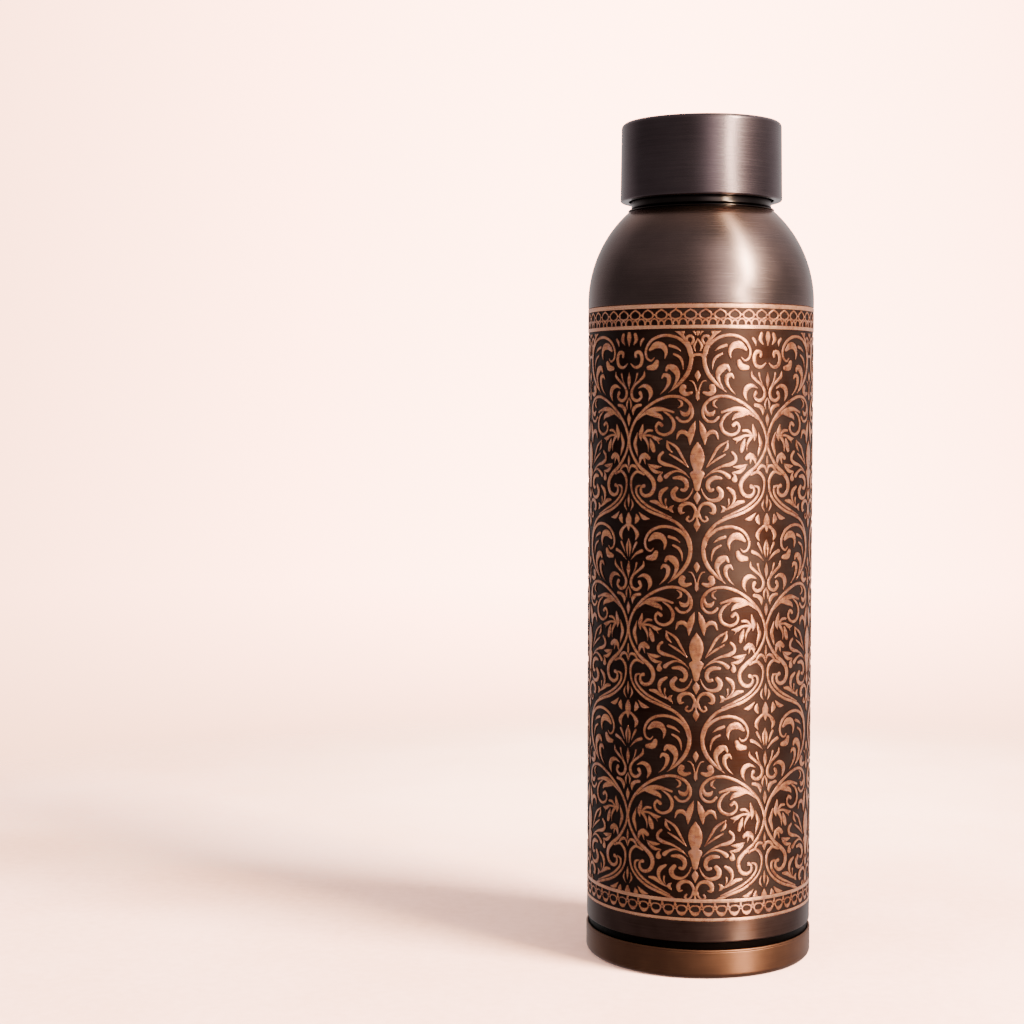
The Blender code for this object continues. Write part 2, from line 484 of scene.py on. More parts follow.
def settle(obj: bpy.types.Object, body: Body, slot: Slot, *nodes: str) -> bpy.types.Object:
    """Gives a piece its body and hides the CAD nodes that it stands for.

    Args:
        obj: The piece.
        body: The body that it rides on.
        slot: The record's material slot; not used.
        nodes: The CAD nodes that it replaces.

    Returns:
        The piece.
    """
    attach(obj, body.value)
    if nodes:
        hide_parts(*nodes)
    log.info("%s: %d faces, rides on %s", obj.name, len(obj.data.polygons), body.value)
    return obj


def arc(centre: Point, radius: Point, start: float, end: float, count: int) -> list[Point]:
    """Points of a round or elliptic stretch of a profile, at angles in degrees from outwards to up."""
    angles = [math.radians(start + (end - start) * i / count) for i in range(count + 1)]
    return [(centre[0] + radius[0] * math.cos(a), centre[1] + radius[1] * math.sin(a)) for a in angles]


def softened(corners: Sequence[Corner], steps: int = 5, closed: bool = True) -> list[Point]:
    """Rounds the corners of a profile.

    Args:
        corners: Distance from the axis, height and corner radius of each corner.
        steps: Steps in each rounded corner.
        closed: Whether the last corner joins the first.

    Returns:
        The profile's points.
    """
    points: list[Point] = []
    count = len(corners)
    for i, (r, z, radius) in enumerate(corners):
        here = Vector((r, z))
        if radius <= 0 or (not closed and i in (0, count - 1)):
            points.append((r, z))
            continue
        before = Vector(corners[i - 1][:2]) - here
        after = Vector(corners[(i + 1) % count][:2]) - here
        half = before.angle(after) / 2
        setback = min(radius / math.tan(half), before.length * 0.49, after.length * 0.49)
        start, end = here + before.normalized() * setback, here + after.normalized() * setback
        middle = here + (before.normalized() + after.normalized()).normalized() * (setback / math.cos(half))
        reach = setback * math.tan(half)
        for k in range(steps + 1):
            chord = start.lerp(end, k / steps)
            points.append(tuple(middle + (chord - middle).normalized() * reach))
    return points


def turned(profile: Sequence[Point], closed: bool = True, steps: int = FINE_STEPS) -> bmesh.types.BMesh:
    """Spins a profile about the axis.

    Args:
        profile: Distance from the axis and height of each point.
        closed: Whether the profile is a loop. An open one starts and ends on the axis.
        steps: Flats round the piece.

    Returns:
        The closed shape, facing outwards.
    """
    bm = bmesh.new()
    verts = [bm.verts.new((0, -r, z)) for r, z in profile]
    edges = [bm.edges.new(pair) for pair in zip(verts, verts[1:])]
    if closed:
        edges.append(bm.edges.new((verts[-1], verts[0])))
    bmesh.ops.spin(
        bm, geom=verts + edges, cent=(0, 0, 0), axis=(0, 0, 1), angle=math.tau, steps=steps, use_merge=True
    )
    bmesh.ops.remove_doubles(bm, verts=bm.verts, dist=1e-4)
    bmesh.ops.recalc_face_normals(bm, faces=bm.faces)
    return bm


def paint(bm: bmesh.types.BMesh, index: int, test: Callable[[Vector], bool]) -> None:
    """Gives a material index to the faces whose middle passes a test.

    Args:
        bm: The geometry.
        index: The material index.
        test: Takes a face's middle, in millimetres.
    """
    for face in bm.faces:
        if test(face.calc_center_median()):
            face.material_index = index


@dataclass(frozen=True)
class Thread:
    """A right-hand screw ridge that fades out at both ends."""

    wall: float  # radius of the wall that it stands on
    crest: float  # radius of its crest
    start: float  # height of its first turn's middle
    turns: float
    pitch: float = 4.0
    root_width: float = 2.0
    crest_width: float = 0.9
    steps_per_turn: int = 96
    fade: float = 0.12  # share of a turn over which each end fades

    def ridge(self) -> bmesh.types.BMesh:
        """Sweeps the ridge's section along the helix.

        Returns:
            The closed ridge, its root sunk in the wall.
        """
        sunk = self.wall - math.copysign(0.3, self.crest - self.wall)
        half_root, half_crest = self.root_width / 2, self.crest_width / 2
        loop = softened(
            [
                (sunk, -half_root, 0),
                (self.wall, -half_root, 0.2),
                (self.crest, -half_crest, 0.3),
                (self.crest, half_crest, 0.3),
                (self.wall, half_root, 0.2),
                (sunk, half_root, 0),
            ],
            steps=3,
        )
        bm = bmesh.new()
        verts = [bm.verts.new((r, 0, self.start + z)) for r, z in loop]
        face = bm.faces.new(verts)
        steps = round(self.turns * self.steps_per_turn)
        rise = Vector((0, 0, self.pitch / self.steps_per_turn))
        bmesh.ops.spin(
            bm,
            geom=[face, *face.edges, *verts],
            cent=(0, 0, 0),
            axis=(0, 0, 1),
            dvec=rise,
            angle=math.tau * self.turns,
            steps=steps,
            use_duplicate=False,
        )
        for vert in bm.verts:
            self._fade(vert, sunk)
        bmesh.ops.recalc_face_normals(bm, faces=bm.faces)
        return bm

    def _fade(self, vert: bmesh.types.BMVert, sunk: float) -> None:
        """Draws a vertex near an end of the ridge back into the wall.

        Args:
            vert: The vertex.
            sunk: Radius of the ridge's hidden root.
        """
        share = math.atan2(vert.co.y, vert.co.x) / math.tau
        turn = share + round((vert.co.z - self.start) / self.pitch - share)
        near = max(0.0, min(turn, self.turns - turn)) / self.fade
        keep = min(1.0, near)
        keep = keep * keep * (3 - 2 * keep)
        radius = vert.co.xy.length
        wanted = sunk + (radius - sunk) * (0.3 + 0.7 * keep)
        vert.co.xy *= wanted / radius


def everything(bm: bmesh.types.BMesh) -> list[bmesh.types.BMVert | bmesh.types.BMEdge | bmesh.types.BMFace]:
    """All of a shape's vertices, edges and faces."""
    return [*bm.verts, *bm.edges, *bm.faces]


def joined(parts: Iterable[bmesh.types.BMesh]) -> bmesh.types.BMesh:
    """Puts several shapes into one bmesh.

    Args:
        parts: The shapes, which are freed.

    Returns:
        One bmesh.
    """
    whole = bmesh.new()
    for part in parts:
        mesh = bpy.data.meshes.new("part")
        part.to_mesh(mesh)
        part.free()
        whole.from_mesh(mesh)
        bpy.data.meshes.remove(mesh)
    return whole


# ---------------------------------------------------------------------------------------------
# The etched relief

SKIN = 36.5  # radius of the raised copper
ETCH_DEPTH = 0.2
SUNK = 0.45  # depth at which a raised shape's walls end, inside the tube's own wall
COLUMNS = 5
SEAM = math.pi * SKIN / COLUMNS  # half the breadth of a column, along the skin
FACING = -0.8 / SKIN  # angle of the first column's middle
ROW_HEIGHT = 59.0
ROWS = 4
FIRST_ROW_TOP = 194.0
FIELD = (25.3, 201.8)  # heights between which the pattern shows
EDGE_BREADTH = 0.16  # breadth of the darker edge along a raised shape, which is painted shade
EDGE_DROP = 0.06  # how far the outline lies under the top
STRIP = 2.0  # breadth of the strips that let the relief bend round the tube


@dataclass(frozen=True)
class Stroke:
    """A pen stroke whose breadth changes, drawn on the unrolled skin.

    Each point holds the distance from the column's middle, the distance down from the row's top
    and the breadth there.
    """

    points: tuple[StrokePoint, ...]
    spacing: float = 0.65  # length of the steps that it is cut into
    least: float = 0.06  # breadth of a pointed end

    def moved(self, down: float) -> "Stroke":
        """The stroke moved down."""
        return Stroke(tuple((u, v + down, w) for u, v, w in self.points))

    def mirrored(self, axis: float) -> "Stroke":
        """The stroke mirrored about a vertical line."""
        return Stroke(tuple((2 * axis - u, v, w) for u, v, w in self.points))

    def reach(self) -> tuple[float, float]:
        """Its leftmost and rightmost places."""
        return min(u - w for u, _, w in self.points), max(u + w for u, _, w in self.points)

    def samples(self) -> list[Vector]:
        """Places and breadths along a smooth curve through the points.

        Returns:
            Vectors of across, down and breadth.
        """
        knots = [Vector(p) for p in self.points]
        knots = [knots[0] * 2 - knots[1], *knots, knots[-1] * 2 - knots[-2]]
        found = [knots[1].copy()]
        for p0, p1, p2, p3 in zip(knots, knots[1:], knots[2:], knots[3:]):
            t1 = max((p1 - p0).xy.length, 0.01) ** 0.5
            t2 = t1 + max((p2 - p1).xy.length, 0.01) ** 0.5
            t3 = t2 + max((p3 - p2).xy.length, 0.01) ** 0.5
            steps = max(2, round((p2 - p1).xy.length / self.spacing))
            for k in range(1, steps + 1):
                t = t1 + (t2 - t1) * k / steps
                a1 = p0.lerp(p1, t / t1)
                a2 = p1.lerp(p2, (t - t1) / (t2 - t1))
                a3 = p2.lerp(p3, (t - t2) / (t3 - t2))
                b1 = a1.lerp(a2, t / t2)
                b2 = a2.lerp(a3, (t - t1) / (t3 - t1))
                found.append(b1.lerp(b2, (t - t1) / (t2 - t1)))
        for place in found:
            place.z = max(place.z, self.least)
        return found


@dataclass
class InkPad:
    """Collects the small flat faces that strokes are made of, for one triangulation."""

    corners: list[Vector] = field(default_factory=list)
    faces: list[list[int]] = field(default_factory=list)
    core: set[int] = field(default_factory=set)

    def corner(self, place: Vector) -> int:
        """Adds a corner and returns its index."""
        self.corners.append(place.xy)
        return len(self.corners) - 1

    def face(self, ring: Sequence[int], core: bool) -> None:
        """Adds a face, split in triangles unless it is convex, and turned the right way round.

        Args:
            ring: Its corners, in order.
            core: Whether it is at full height.
        """
        ring = [c for i, c in enumerate(ring) if c != ring[i - 1]]
        bends = [self._bend(ring[i - 2], ring[i - 1], ring[i]) for i in range(len(ring))]
        if all(b > 1e-7 for b in bends) or all(b < -1e-7 for b in bends):
            pieces = [ring]
        else:
            pieces = [[ring[0], ring[i], ring[i + 1]] for i in range(1, len(ring) - 1)]
        for piece in pieces:
            bend = self._bend(*piece[:3])
            if abs(bend) < 1e-6:
                continue
            if core:
                self.core.add(len(self.faces))
            self.faces.append(piece if bend > 0 else piece[::-1])

    def _bend(self, first: int, second: int, third: int) -> float:
        """Twice the signed area of the triangle through three corners."""
        a, b, c = self.corners[first], self.corners[second], self.corners[third]
        return (b.x - a.x) * (c.y - b.y) - (b.y - a.y) * (c.x - b.x)

    def draw(self, stroke: Stroke) -> None:
        """Adds a stroke, with an edge all round its core.

        Args:
            stroke: The stroke.
        """
        places = stroke.samples()
        ribs: list[list[int]] = []
        for i, place in enumerate(places):
            along = (places[min(i + 1, len(places) - 1)] - places[max(i - 1, 0)]).xy.normalized()
            side = Vector((-along.y, along.x))
            half = place.z / 2
            inner = half - EDGE_BREADTH if half > EDGE_BREADTH + 0.03 else 0.0
            middle = self.corner(place.xy)
            left = self.corner(place.xy + side * inner) if inner else middle
            right = self.corner(place.xy - side * inner) if inner else middle
            outer = [self.corner(place.xy + side * half), self.corner(place.xy - side * half)]
            ribs.append([outer[0], left, right, outer[1]])
            if i == 0:
                self._cap(place, -along, half, inner, ribs[0][::-1])
            elif i == len(places) - 1:
                self._cap(place, along, half, inner, ribs[-1])
        for low, high in zip(ribs, ribs[1:]):
            self.face((low[0], low[1], high[1], high[0]), False)
            self.face((low[1], low[2], high[2], high[1]), True)
            self.face((low[2], low[3], high[3], high[2]), False)

    def _cap(self, place: Vector, ahead: Vector, half: float, inner: float, rib: Sequence[int]) -> None:
        """Adds the round end of a stroke.

        Args:
            place: The stroke's last place.
            ahead: Direction in which the stroke ends.
            half: Half its breadth.
            inner: Half its core's breadth.
            rib: The corners across its end, from the left.
        """
        steps = 2 if half < 0.2 else 4 if half < 0.5 else 6
        side = Vector((-ahead.y, ahead.x))
        rim, core = [rib[0]], [rib[1]]
        for k in range(1, steps):
            turn = math.pi * k / steps
            spoke = side * math.cos(turn) + ahead * math.sin(turn)
            rim.append(self.corner(place.xy + spoke * half))
            core.append(self.corner(place.xy + spoke * inner) if inner else rib[1])
        rim.append(rib[3])
        core.append(rib[2])
        if inner:
            self.face(core[::-1], True)
        for k in range(steps):
            self.face((core[k], core[k + 1], rim[k + 1], rim[k]), False)

    def sheet(self) -> bmesh.types.BMesh:
        """Joins all the faces in one flat sheet.

        Returns:
            The sheet: across on X, height above the surface on Y, and down on Z. Faces of the
            core have material 0 and those of the edge have material 1.
        """
        found = delaunay_2d_cdt(self.corners, [], self.faces, 1, 1e-4, True)
        corners, _, faces, _, _, sources = found
        bm = bmesh.new()
        verts = [bm.verts.new((c.x, 0, c.y)) for c in corners]
        for ring, source in zip(faces, sources):
            if source:
                face = bm.faces.new([verts[i] for i in ring])
                face.material_index = 0 if self.core.intersection(source) else 1
        loose = [v for v in verts if not v.link_faces]
        bmesh.ops.delete(bm, geom=loose, context="VERTS")
        return bm


def clipped(bm: bmesh.types.BMesh, axis: Vector, low: float, high: float) -> None:
    """Cuts a sheet off outside a range.

    Args:
        bm: The sheet.
        axis: Direction along which the range runs.
        low: The range's start.
        high: The range's end.
    """
    for limit, outward in ((low, -axis), (high, axis)):
        bmesh.ops.bisect_plane(
            bm, geom=everything(bm), dist=1e-5, plane_co=axis * limit, plane_no=outward, clear_outer=True
        )


@dataclass(frozen=True)
class Relief:
    """Raised copper on one column of the tube, between two heights."""

    strokes: tuple[Stroke, ...]
    half_breadth: float  # half the breadth of the unit that repeats
    datum: float  # height from which strokes are measured down
    low: float
    high: float

    def unit(self) -> bmesh.types.BMesh:
        """Makes one unit as a flat sheet, symmetrical about its middle.

        Returns:
            The sheet, with height above the tube's axis on Z.
        """
        pad = InkPad()
        for stroke in self.strokes:
            left, right = stroke.reach()
            pad.draw(stroke)
            if left < 0:
                pad.draw(stroke.mirrored(0))
            if right > self.half_breadth:
                pad.draw(stroke.mirrored(self.half_breadth))
        bm = pad.sheet()
        for vert in bm.verts:
            vert.co.z = self.datum - vert.co.z
        self._round_edges(bm)
        clipped(bm, Vector((1, 0, 0)), 0, self.half_breadth)
        clipped(bm, Vector((0, 0, 1)), self.low, self.high)
        bmesh.ops.mirror(bm, geom=everything(bm), matrix=Matrix.Identity(4), merge_dist=1e-4, axis="X")
        return bm

    def _round_edges(self, bm: bmesh.types.BMesh) -> None:
        """Lowers the outline of the shapes a little.

        Args:
            bm: The sheet.
        """
        for vert in bm.verts:
            if any(len(edge.link_faces) == 1 for edge in vert.link_edges):
                vert.co.y = -EDGE_DROP

    def column(self) -> bpy.types.Mesh:
        """Makes the relief of one column, bent round the tube.

        Returns:
            The mesh in metres, facing -Y.
        """
        unit = self.unit()
        count = round(SEAM / self.half_breadth)
        shifts = [(2 * i + 1 - count) * self.half_breadth for i in range(count)]
        copies = []
        for shift in shifts:
            copy = unit.copy()
            bmesh.ops.translate(copy, vec=(shift, 0, 0), verts=copy.verts)
            copies.append(copy)
        unit.free()
        bm = joined(copies)
        bmesh.ops.remove_doubles(bm, verts=bm.verts, dist=1e-4)
        self._cut_strips(bm)
        self._drop_walls(bm)
        self._bend_round(bm)
        mesh = bpy.data.meshes.new("relief")
        bmesh.ops.recalc_face_normals(bm, faces=bm.faces)
        self._face_out(bm)
        bmesh.ops.scale(bm, vec=(MM, MM, MM), verts=bm.verts)
        bm.to_mesh(mesh)
        bm.free()
        return mesh

    def _cut_strips(self, bm: bmesh.types.BMesh) -> None:
        """Cuts the sheet in upright strips, so that it bends smoothly.

        Args:
            bm: The sheet.
        """
        count = round(2 * SEAM / STRIP)
        for i in range(1, count):
            place = Vector((-SEAM + 2 * SEAM * i / count, 0, 0))
            bmesh.ops.bisect_plane(bm, geom=everything(bm), dist=1e-3, plane_co=place, plane_no=(1, 0, 0))

    def _drop_walls(self, bm: bmesh.types.BMesh) -> None:
        """Adds walls under the outline, apart from where it meets the next column.

        Args:
            bm: The sheet.
        """
        outline = [edge for edge in bm.edges if len(edge.link_faces) == 1 and not self._at_cut(edge)]
        made = bmesh.ops.extrude_edge_only(bm, edges=outline)["geom"]
        for item in made:
            if isinstance(item, bmesh.types.BMVert):
                item.co.y = -SUNK
            elif isinstance(item, bmesh.types.BMFace):
                item.material_index = 2

    def _at_cut(self, edge: bmesh.types.BMEdge) -> bool:
        """Whether an edge lies on a side of the column."""
        return all(abs(abs(vert.co.x) - SEAM) < 1e-3 for vert in edge.verts)

    def _bend_round(self, bm: bmesh.types.BMesh) -> None:
        """Wraps the sheet on the tube's skin.

        Args:
            bm: The sheet.
        """
        for vert in bm.verts:
            angle = vert.co.x / SKIN + FACING
            radius = SKIN + vert.co.y
            vert.co = (radius * math.sin(angle), -radius * math.cos(angle), vert.co.z)

    def _face_out(self, bm: bmesh.types.BMesh) -> None:
        """Turns the tops outwards.

        Args:
            bm: The relief, bent round the tube.
        """
        for face in bm.faces:
            outward = face.calc_center_median() * Vector((1, 1, 0))
            if face.material_index < 2 and face.normal.dot(outward) < 0:
                face.normal_flip()

    def wrap(self, name: str, materials: Sequence[bpy.types.Material]) -> list[bpy.types.Object]:
        """Sets a column's relief on every column.

        Args:
            name: Start of the pieces' names.
            materials: Finish of the tops, of the edges and of the walls.

        Returns:
            One piece for each column.
        """
        first = self.column()
        pieces = []
        for i in range(COLUMNS):
            mesh = first.copy()
            mesh.transform(Matrix.Rotation(math.tau * i / COLUMNS, 4, "Z"))
            piece = placed(mesh, f"{name}_{i + 1}", materials)
            pieces.append(settle(piece, Body.BOTTLE, Slot.ETCHED))
        bpy.data.meshes.remove(first)
        return pieces


def strokes(*lines: tuple[StrokePoint, ...]) -> tuple[Stroke, ...]:
    """Makes strokes of their points."""
    return tuple(Stroke(line) for line in lines)


# The tables below were drawn: millimetres across from the middle and down from a row's
# top, and the breadth. Every stroke also shows mirrored.

# The scrolled frame, which grows out of the row above.
FRAME = strokes(
    # lower frame: from the pinch into the spiral
    (
        (22.9, 25.6, 0.9), (22.3, 28.6, 0.9), (20.7, 31.7, 1), (18.6, 34.2, 1.2), (16, 36.2, 1.4),
        (14.1, 38.2, 1.5), (13.7, 40.4, 1.4), (14.8, 42.5, 1.3), (16.8, 43.1, 1.2), (18.2, 42.1, 1.1),
        (18.2, 40.5, 0.9), (17.2, 40, 1.3),
    ),
    # outer frame, down to the middle and on past the bar to its tail
    (
        (17.2, 36.4, 0.8), (19.8, 35.6, 1), (21.7, 37.4, 1), (22, 40.2, 0.8), (21, 43.2, 0.8),
        (18.6, 45.8, 0.9), (15, 47.9, 1), (10.5, 49.4, 1), (6.4, 51.2, 1), (3.7, 53.9, 1),
        (2.2, 57.2, 1.2), (2.1, 61, 1.3), (3.3, 64.4, 1.3), (6, 67.6, 1), (9, 70, 0.2),
    ),
    # its inner partner
    (
        (18.4, 39.9, 0.5), (19.8, 40.3, 0.9), (20, 42.1, 0.9), (18.4, 44.3, 0.9), (15.6, 46.3, 0.9),
        (12, 47.9, 0.7), (8, 49.6, 0.4),
    ),
    # upper scroll from the pinch to the middle
    (
        (22.9, 26, 0.9), (22.2, 23.2, 0.9), (20.8, 20.3, 1), (18.4, 17.4, 1), (15.4, 15, 1),
        (12, 13.2, 1), (8.4, 12.2, 1), (5, 12.6, 1), (2.6, 14.3, 1), (1.6, 16.6, 1), (1.9, 18.6, 0.9),
        (3.3, 19.9, 0.9), (5.1, 19.9, 0.9), (6.4, 18.7, 0.9),
    ),
    # acanthus branch and curl
    (
        (19.8, 19.6, 0.3), (17.2, 17.6, 1), (14.6, 16.5, 1.6), (12, 16.1, 1.5), (9.4, 16.5, 0.9),
        (7.5, 17.1, 0.8),
    ),
    (
        (10.6, 16.9, 0.5), (8.5, 18.3, 0.9), (7.3, 20.6, 1.1), (7.9, 22.9, 1.1), (10.3, 24.1, 1),
        (12.6, 23.2, 0.9), (13.1, 21.5, 0.9), (12.2, 20.4, 1.1), (11.2, 21.1, 1.2),
    ),
    ((16.2, 17.5, 0.8), (13.6, 17.8, 1.7), (11.6, 18.5, 1.3), (11, 19.3, 0.6)),
    ((2.5, 14.9, 0.4), (2.4, 16.5, 0.9), (3.2, 17.7, 1.4), (4.5, 17.6, 1.4), (5.2, 16.8, 0.6)),
    ((6.2, 13.1, 0.2), (5, 13.9, 0.8), (4.9, 15, 0.8), (6.1, 15.8, 0.2)),
)
# The lily and its leaves, up the middle of the frame.
MIDDLE = strokes(
    ((0, 4.6, 0.7), (0, 5.7, 1.9), (0, 7.7, 0)),
    ((0.15, 12.8, 0.8), (0.35, 10.6, 0.5), (0.9, 8.7, 0.45), (1.6, 7.6, 0.5), (2.5, 7.4, 0.3)),
    ((0, 10.7, 0.3), (0, 12.2, 1.3), (0, 13.6, 0)),
    ((4.4, 9.4, 2), (4.9, 10.5, 1.8), (3.6, 11.5, 1.5), (1.9, 11.1, 0.9)),
    ((0.6, 19.7, 0), (1.4, 21.9, 1.7), (2.1, 24.4, 1.9), (2.3, 27, 0.4)),
    ((2.6, 24.6, 0.8), (4, 23.2, 1.4), (5.6, 23.4, 1.2), (6.4, 25.3, 0.4)),
    ((0, 26.2, 0), (0, 28.4, 3.1), (0, 30.9, 4.5), (0, 33.4, 3.6), (0, 35.4, 1.8)),
    ((0, 35, 2.4), (0, 35.8, 4.5), (0, 38, 2.9), (0, 40.6, 1.7)),
    ((2.8, 34, 0.2), (4.8, 30.6, 0.8), (6.5, 27.9, 0.9), (9.5, 26, 0.5)),
    ((9.4, 25.9, 0.3), (9.2, 27.9, 1.1), (7.9, 29.4, 0.2)),
    ((8.6, 30.1, 0.5), (6.3, 31.4, 0.8), (4.2, 32.9, 0.5), (2.8, 34.1, 0.2)),
    (
        (10.8, 29.5, 0.9), (11.9, 30.6, 1.1), (12, 32, 1.1), (10.6, 33, 1.3), (7.5, 33.8, 0.8),
        (4.5, 35.3, 0.5), (2.2, 37.4, 0.2),
    ),
    ((11.2, 33.9, 0.2), (13.2, 34, 1.3), (15.9, 33.1, 0)),
    ((11, 35.6, 0.3), (13, 35.6, 1.2), (14.7, 34.5, 1), (15.9, 33.1, 0)),
    ((10.8, 35.7, 0.2), (11.7, 36.6, 0.9), (11.7, 37.8, 2)),
    ((2.2, 37.4, 0.2), (4, 35.9, 0.5), (6.3, 35.2, 0.7), (8.4, 35.9, 1), (9.8, 37, 1.5)),
    (
        (7.3, 37.4, 0.9), (5.2, 37.3, 1.4), (3.6, 38.3, 1.5), (3.2, 39.9, 1.3), (3.9, 41.2, 1.2),
        (4.8, 41, 1),
    ),
    (
        (6.5, 40.6, 1.4), (7.5, 41.9, 1.7), (7.1, 43.5, 1.5), (5.3, 44.3, 1.2), (3.4, 43.9, 0.8),
        (2, 42.4, 0.5), (1.3, 40.7, 0.3),
    ),
    ((0, 41.5, 0), (0, 43.2, 2.2), (0, 45.5, 0)),
    (
        (0.3, 49.2, 0.9), (0.6, 46.9, 0.9), (1.8, 45.4, 1), (3.8, 45.3, 1.3), (5.2, 46.6, 1.5),
        (4.9, 48.2, 1.1), (3.8, 48, 0.3),
    ),
    ((9.4, 40.5, 0.9), (11.2, 41.8, 1.5), (11.7, 43.7, 1.1), (10.9, 45.5, 0.6), (9.6, 46.6, 0.3)),
    ((9.8, 44, 0.7), (9.9, 45.4, 0.5), (9.4, 46.4, 0.2)),
    ((9, 47.1, 0.6), (11, 46.2, 0.9), (12.9, 45, 1.4), (14.8, 44.7, 0.8)),
    ((7.4, 45.9, 0.2), (8.4, 46.9, 1.5), (7.4, 48.1, 0.2)),
)
# The arrowhead under the frame.
ARROW = strokes(
    ((0.6, 48.4, 0.8), (1.2, 50, 0.7), (2.3, 50.8, 0.7), (3.2, 50.1, 0.8), (2.7, 49.3, 0.7)),
    ((0, 48.8, 0.9), (0, 50.3, 0.6), (0, 51.9, 2.1), (0, 53.9, 0)),
)
# The leaf cluster inside the frame.
CLUSTER = strokes(
    ((14.4, 22.8, 0.8), (15.9, 22.8, 1), (17.4, 24, 0.6)),
    ((17.7, 21, 0.5), (18, 22.4, 1.3), (18.5, 24.2, 1.5), (18.2, 26, 0.2)),
    ((17.6, 24.3, 0.9), (14.8, 24.4, 0.8), (12.6, 25.4, 1.4), (11, 25.3, 0.2)),
    ((12.9, 25.3, 0.8), (12.1, 26.8, 0.2)),
    ((17.4, 24.6, 1.2), (16.3, 26, 1), (15.7, 27.6, 0.6), (15.7, 29.3, 0.2)),
    ((15, 25.4, 0.5), (14.4, 27.3, 1.7), (13.9, 29, 1.3)),
    ((19.6, 23.3, 0.2), (20.2, 25.4, 1.1), (20.6, 27, 1.3), (20, 29, 1), (19.5, 30.8, 0.2)),
    ((15.6, 31.3, 1.4), (16.9, 30.4, 1.7), (18.3, 31.2, 1.5), (18.8, 33.2, 0.3)),
    ((17.2, 31.3, 1), (16.7, 33.2, 0.2)),
)
# The round scrolls and leaves above the frame.
CIRCLE = strokes(
    (
        (2.2, -0.4, 1.2), (3.3, -3.4, 1.2), (6.6, -5.9, 1), (11, -6.5, 1), (14.9, -4.9, 1),
        (16.7, -1.9, 0.9), (16.2, 0.5, 0.8), (14.7, 1.2, 0.7), (13.8, 0.3, 0.4),
    ),
    ((10.3, 0.6, 0.3), (9.9, -1.4, 1.2), (11, -3.3, 2), (13.2, -3.6, 2.2), (15.2, -2.2, 1)),
    ((12.9, 1.6, 1.5), (13.6, 3, 2.2), (15.8, 3.4, 1.4)),
    ((5.2, -1.7, 0.2), (6.8, -2.8, 0.9), (8.7, -3.4, 1)),
    ((4.5, 4, 0.2), (4.7, 1.9, 0.7), (5.6, 0.2, 0.9), (7.4, -0.8, 0.7)),
    (
        (9.8, 4.2, 0.9), (9.1, 3.1, 1.5), (7.3, 3.7, 2.3), (6.2, 5.6, 1.6), (6.7, 7.8, 0.9),
        (8.4, 10.6, 0.2),
    ),
    (
        (11.2, 6.6, 0.5), (10.5, 5.6, 1.2), (9.1, 6.1, 1.5), (9, 7.9, 1.3), (9.9, 9.7, 0.8),
        (11.8, 11.6, 0.2),
    ),
    (
        (17.2, 4.4, 0.2), (17.3, 5.8, 1), (18.9, 7.3, 0.9), (21, 9, 0.9), (22, 11, 1.1), (21.3, 13, 1.1),
        (19.6, 13.5, 1.1), (18.2, 12.3, 1), (18.7, 11.1, 1.3),
    ),
    ((19.8, 5.2, 0.8), (20.3, 7, 0.5), (21.4, 9, 0.3)),
    ((15.7, 13.6, 0.2), (14.9, 11.4, 1.5), (15.6, 9.6, 1.7), (17.4, 8.9, 1.2), (19.4, 9.7, 0.3)),
    ((18.5, 14.9, 1), (20, 15.2, 1.2), (21.2, 16.3, 1.4), (21.3, 18, 0.2)),
)
# The buds between two columns.
SIDE = strokes(
    ((22.93, 4.7, 0), (22.93, 7.2, 1.4), (22.93, 10, 0)),
    ((22.93, 12.6, 0.3), (22.1, 14.4, 0.8), (22.3, 16.2, 0.2)),
    ((22.93, 17.4, 0.2), (22.93, 19.2, 1.5), (22.93, 21.4, 0.2)),
    ((22.93, 30.6, 0.2), (22.93, 32.4, 0.9), (22.93, 34.6, 0)),
    ((19.4, 35.2, 0.6), (20.6, 33.9, 1.1), (22.1, 33.9, 0.9), (22.93, 36, 0.3)),
    ((22.93, 42.6, 0.2), (22.93, 44.4, 1), (22.93, 46.6, 0.2)),
    ((21.9, 44.2, 0.2), (21.3, 46, 0.8), (22.2, 47.8, 0.2)),
    ((22.93, 48.8, 0.8), (22.93, 50.5, 2.3), (22.93, 52.6, 1.6), (22.93, 54.2, 0.2)),
    ((22.5, 52.2, 0.9), (20.9, 53.2, 1), (19.6, 55.2, 1.5), (20.3, 57, 0.3)),
    ((19.9, 49, 0.6), (19.6, 50.3, 1.9), (20.3, 51.7, 0.5)),
    ((15.2, 50.2, 0.3), (17.2, 49.9, 1.5), (19, 48.2, 0.2)),
)
# The fan over the side buds, in all rows but the first.
FAN = strokes(
    ((22.93, -2.4, 0.2), (22.3, 0.2, 1), (22.6, 3.2, 0.2)),
    ((22, 4.2, 0.2), (19.9, 2.2, 0.9), (17.9, 1.3, 1.2)),
    ((19.9, -1.2, 0.9), (20.7, 0.2, 0.8), (21.6, 2.2, 0.2)),
)
